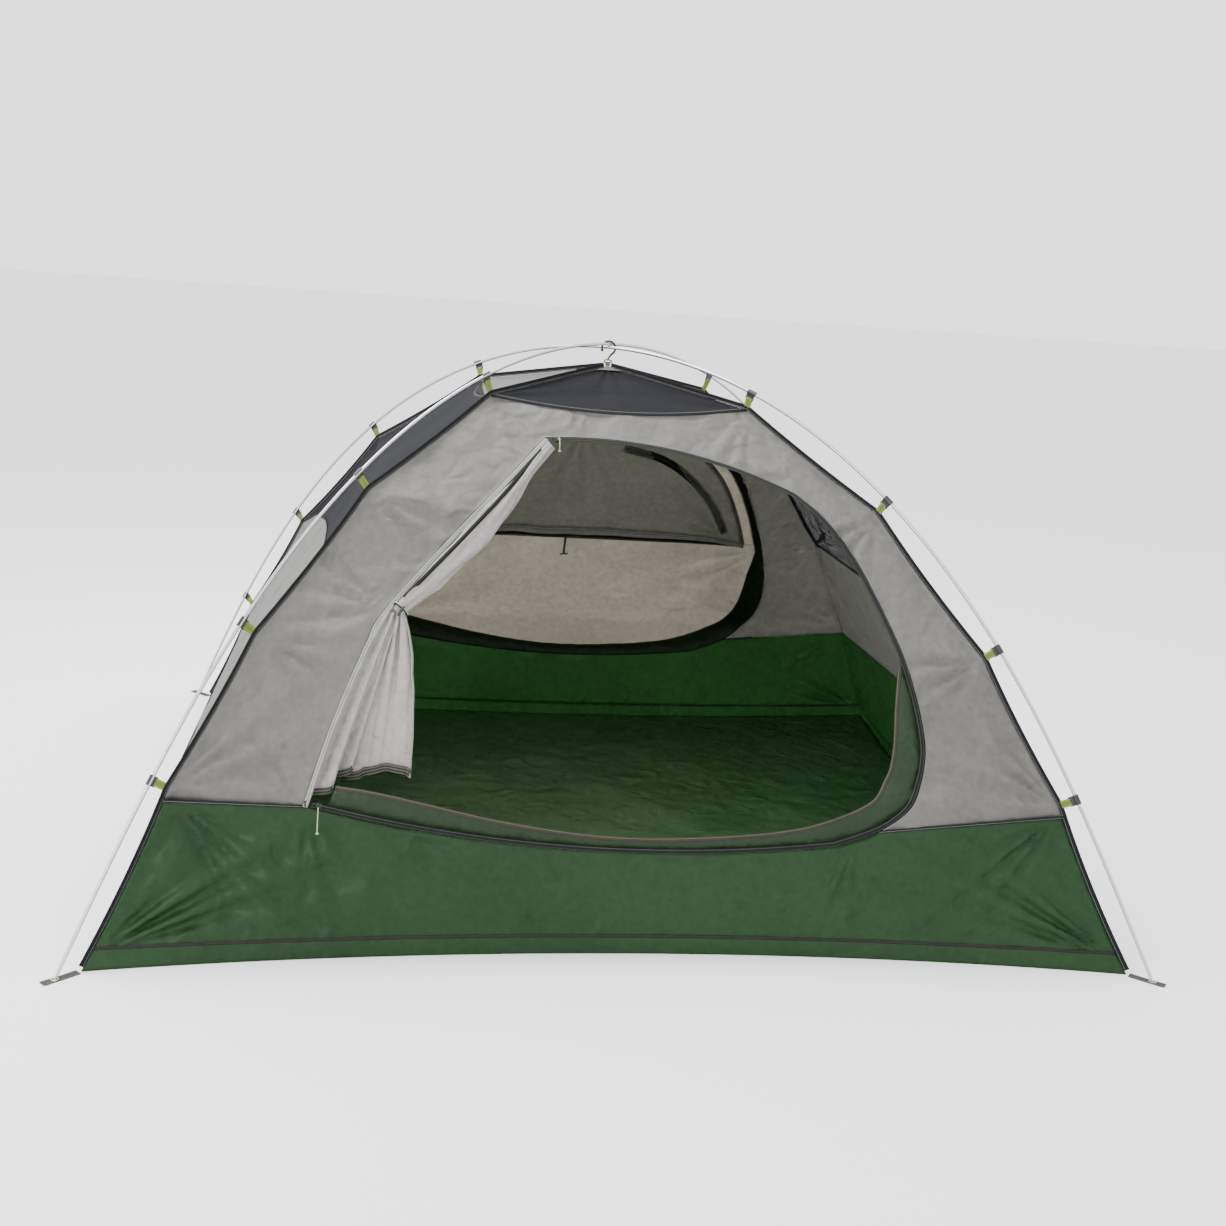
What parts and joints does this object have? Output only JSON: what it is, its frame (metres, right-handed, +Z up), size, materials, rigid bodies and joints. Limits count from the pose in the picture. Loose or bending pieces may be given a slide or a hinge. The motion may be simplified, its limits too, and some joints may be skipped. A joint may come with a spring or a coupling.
{
  "type": "two-pole dome tent",
  "caption": "Freestanding dome tent: crossed poles clipped to a fabric body with a bathtub floor, mesh panels, an open rolled front door and a zipped rear door.",
  "frame": {"origin": "on the ground under the peak, the centre of the footprint", "axes": "+X to the right seen from the front door, +Y towards the rear door, +Z up"},
  "size_m": [2.5994, 2.3424, 1.3985],
  "materials": {
    "grey_polyester": "light warm-grey woven polyester, matt",
    "green_polyester": "coated dark green polyester, slight gloss",
    "charcoal_mesh": "fine knitted mesh, matt",
    "aluminium_tube": "satin drawn tube",
    "black_plastic": "moulded, fine grain",
    "lime_webbing": "woven webbing",
    "dark_webbing": "woven webbing",
    "binding_tape": "folded binding tape with a light stitch line",
    "zip_tape": "woven tape with coil teeth",
    "brass_grommet": "worn brass",
    "slider_metal": "black painted, edges worn",
    "pull_cord": "braided cord",
    "shock_cord": "sheathed elastic cord"
  },
  "bodies": {
    "tent_body": {"apex_webbing": "lime_webbing", "bathtub_floor": "green_polyester", "corner_tape_front_left": "binding_tape", "corner_tape_front_right": "binding_tape", "corner_tape_rear_left": "binding_tape", "corner_tape_rear_right": "binding_tape", "foot_strap_front_left": "dark_webbing", "foot_strap_front_right": "dark_webbing", "foot_strap_rear_left": "dark_webbing", "foot_strap_rear_right": "dark_webbing", "front_door": "grey_polyester", "front_door_tie": "lime_webbing", "front_door_zip": "zip_tape", "front_roof_mesh": "charcoal_mesh", "front_storm_flap": "green_polyester", "front_wall": "grey_polyester", "grommet_front_left": "brass_grommet", "grommet_front_right": "brass_grommet", "grommet_rear_left": "brass_grommet", "grommet_rear_right": "brass_grommet", "left_lower_panel": "grey_polyester", "left_mesh_wall": "charcoal_mesh", "left_roof_panel": "grey_polyester", "pole_over": "aluminium_tube", "pole_under": "aluminium_tube", "rear_door_zip": "zip_tape", "rear_roof_mesh": "charcoal_mesh", "rear_storm_flap": "green_polyester", "rear_wall": "grey_polyester", "right_lower_panel": "grey_polyester", "right_mesh_wall": "charcoal_mesh", "right_roof_panel": "grey_polyester", "shock_cord_over": "shock_cord", "shock_cord_under": "shock_cord"},
    "clip_front_left_1": {"clip_front_left_1": "black_plastic"},
    "clip_front_left_2": {"clip_front_left_2": "black_plastic"},
    "clip_front_left_3": {"clip_front_left_3": "black_plastic"},
    "clip_front_left_4": {"clip_front_left_4": "black_plastic"},
    "clip_front_right_1": {"clip_front_right_1": "black_plastic"},
    "clip_front_right_2": {"clip_front_right_2": "black_plastic"},
    "clip_front_right_3": {"clip_front_right_3": "black_plastic"},
    "clip_front_right_4": {"clip_front_right_4": "black_plastic"},
    "clip_rear_left_1": {"clip_rear_left_1": "black_plastic"},
    "clip_rear_left_2": {"clip_rear_left_2": "black_plastic"},
    "clip_rear_left_3": {"clip_rear_left_3": "black_plastic"},
    "clip_rear_left_4": {"clip_rear_left_4": "black_plastic"},
    "clip_rear_right_1": {"clip_rear_right_1": "black_plastic"},
    "clip_rear_right_2": {"clip_rear_right_2": "black_plastic"},
    "clip_rear_right_3": {"clip_rear_right_3": "black_plastic"},
    "clip_rear_right_4": {"clip_rear_right_4": "black_plastic"},
    "apex_hook": {"apex_hook": "black_plastic"},
    "front_zip_slider_top": {"front_zip_slider_top": "slider_metal", "front_zip_pull_top": "pull_cord"},
    "front_zip_slider_lower": {"front_zip_slider_lower": "slider_metal", "front_zip_pull_lower": "pull_cord"},
    "rear_door": {"rear_door": "grey_polyester", "rear_window_mesh": "charcoal_mesh", "rear_window_zip": "zip_tape"},
    "rear_window_toggle": {"rear_window_toggle": "lime_webbing"}
  },
  "joints": [
    {"name": "clip_front_left_1_swing", "type": "hinge", "parent": "tent_body", "child": "clip_front_left_1", "pos_m": [-1.08589, -0.97192, 0.39594], "axis": [0.3975, 0.3578, 0.845], "range_deg": [-75, 0]},
    {"name": "clip_front_left_2_swing", "type": "hinge", "parent": "tent_body", "child": "clip_front_left_2", "pos_m": [-0.91021, -0.81381, 0.72681], "axis": [0.4721, 0.4249, 0.7724], "range_deg": [-75, 0]},
    {"name": "clip_front_left_3_swing", "type": "hinge", "parent": "tent_body", "child": "clip_front_left_3", "pos_m": [-0.66417, -0.59237, 1.0522], "axis": [0.5884, 0.5295, 0.6111], "range_deg": [-75, 0]},
    {"name": "clip_front_left_4_swing", "type": "hinge", "parent": "tent_body", "child": "clip_front_left_4", "pos_m": [-0.35544, -0.31451, 1.28455], "axis": [0.6976, 0.6278, 0.3453], "range_deg": [-75, 0]},
    {"name": "clip_front_right_1_swing", "type": "hinge", "parent": "tent_body", "child": "clip_front_right_1", "pos_m": [1.07911, -0.97658, 0.3947], "axis": [-0.4006, 0.3606, 0.8423], "range_deg": [-75, 0]},
    {"name": "clip_front_right_2_swing", "type": "hinge", "parent": "tent_body", "child": "clip_front_right_2", "pos_m": [0.90218, -0.81734, 0.72437], "axis": [-0.4751, 0.4276, 0.7691], "range_deg": [-75, 0]},
    {"name": "clip_front_right_3_swing", "type": "hinge", "parent": "tent_body", "child": "clip_front_right_3", "pos_m": [0.65486, -0.59475, 1.04798], "axis": [-0.5908, 0.5318, 0.6067], "range_deg": [-75, 0]},
    {"name": "clip_front_right_4_swing", "type": "hinge", "parent": "tent_body", "child": "clip_front_right_4", "pos_m": [0.34518, -0.31604, 1.27802], "axis": [-0.699, 0.6291, 0.34], "range_deg": [-75, 0]},
    {"name": "clip_rear_left_1_swing", "type": "hinge", "parent": "tent_body", "child": "clip_rear_left_1", "pos_m": [-1.07911, 0.97658, 0.3947], "axis": [0.4006, -0.3606, 0.8423], "range_deg": [-75, 0]},
    {"name": "clip_rear_left_2_swing", "type": "hinge", "parent": "tent_body", "child": "clip_rear_left_2", "pos_m": [-0.90218, 0.81734, 0.72437], "axis": [0.4751, -0.4276, 0.7691], "range_deg": [-75, 0]},
    {"name": "clip_rear_left_3_swing", "type": "hinge", "parent": "tent_body", "child": "clip_rear_left_3", "pos_m": [-0.65486, 0.59475, 1.04798], "axis": [0.5908, -0.5318, 0.6067], "range_deg": [-75, 0]},
    {"name": "clip_rear_left_4_swing", "type": "hinge", "parent": "tent_body", "child": "clip_rear_left_4", "pos_m": [-0.34518, 0.31604, 1.27802], "axis": [0.699, -0.6291, 0.34], "range_deg": [-75, 0]},
    {"name": "clip_rear_right_1_swing", "type": "hinge", "parent": "tent_body", "child": "clip_rear_right_1", "pos_m": [1.08589, 0.97192, 0.39594], "axis": [-0.3975, -0.3578, 0.845], "range_deg": [-75, 0]},
    {"name": "clip_rear_right_2_swing", "type": "hinge", "parent": "tent_body", "child": "clip_rear_right_2", "pos_m": [0.91021, 0.81381, 0.72681], "axis": [-0.4721, -0.4249, 0.7724], "range_deg": [-75, 0]},
    {"name": "clip_rear_right_3_swing", "type": "hinge", "parent": "tent_body", "child": "clip_rear_right_3", "pos_m": [0.66417, 0.59237, 1.0522], "axis": [-0.5884, -0.5295, 0.6111], "range_deg": [-75, 0]},
    {"name": "clip_rear_right_4_swing", "type": "hinge", "parent": "tent_body", "child": "clip_rear_right_4", "pos_m": [0.35544, 0.31451, 1.28455], "axis": [-0.6976, -0.6278, 0.3453], "range_deg": [-75, 0]},
    {"name": "apex_hook_swing", "type": "hinge", "parent": "tent_body", "child": "apex_hook", "pos_m": [0, 0, 1.3365], "axis": [1, 0, 0], "range_deg": [-1.5, 1.5]},
    {"name": "front_zip_top_travel", "type": "hinge", "parent": "tent_body", "child": "front_zip_slider_top", "pos_m": [-0.09, -1.14269, 0.55529], "axis": [0, -0.6391, 0.7691], "range_deg": [-36, 0]},
    {"name": "front_zip_lower_travel", "type": "hinge", "parent": "tent_body", "child": "front_zip_slider_lower", "pos_m": [0.08, -0.972, 3.64], "axis": [0, -1, 0], "range_deg": [0, 20]},
    {"name": "rear_door_swing", "type": "hinge", "parent": "tent_body", "child": "rear_door", "pos_m": [-0.51643, 0.80005, 0.70393], "axis": [0.4939, -0.4875, 0.7201], "range_deg": [0, 80]},
    {"name": "rear_toggle_swing", "type": "hinge", "parent": "rear_door", "child": "rear_window_toggle", "pos_m": [0, 0.79884, 0.695], "axis": [1, 0, 0], "range_deg": [-80, 18]}
  ]
}
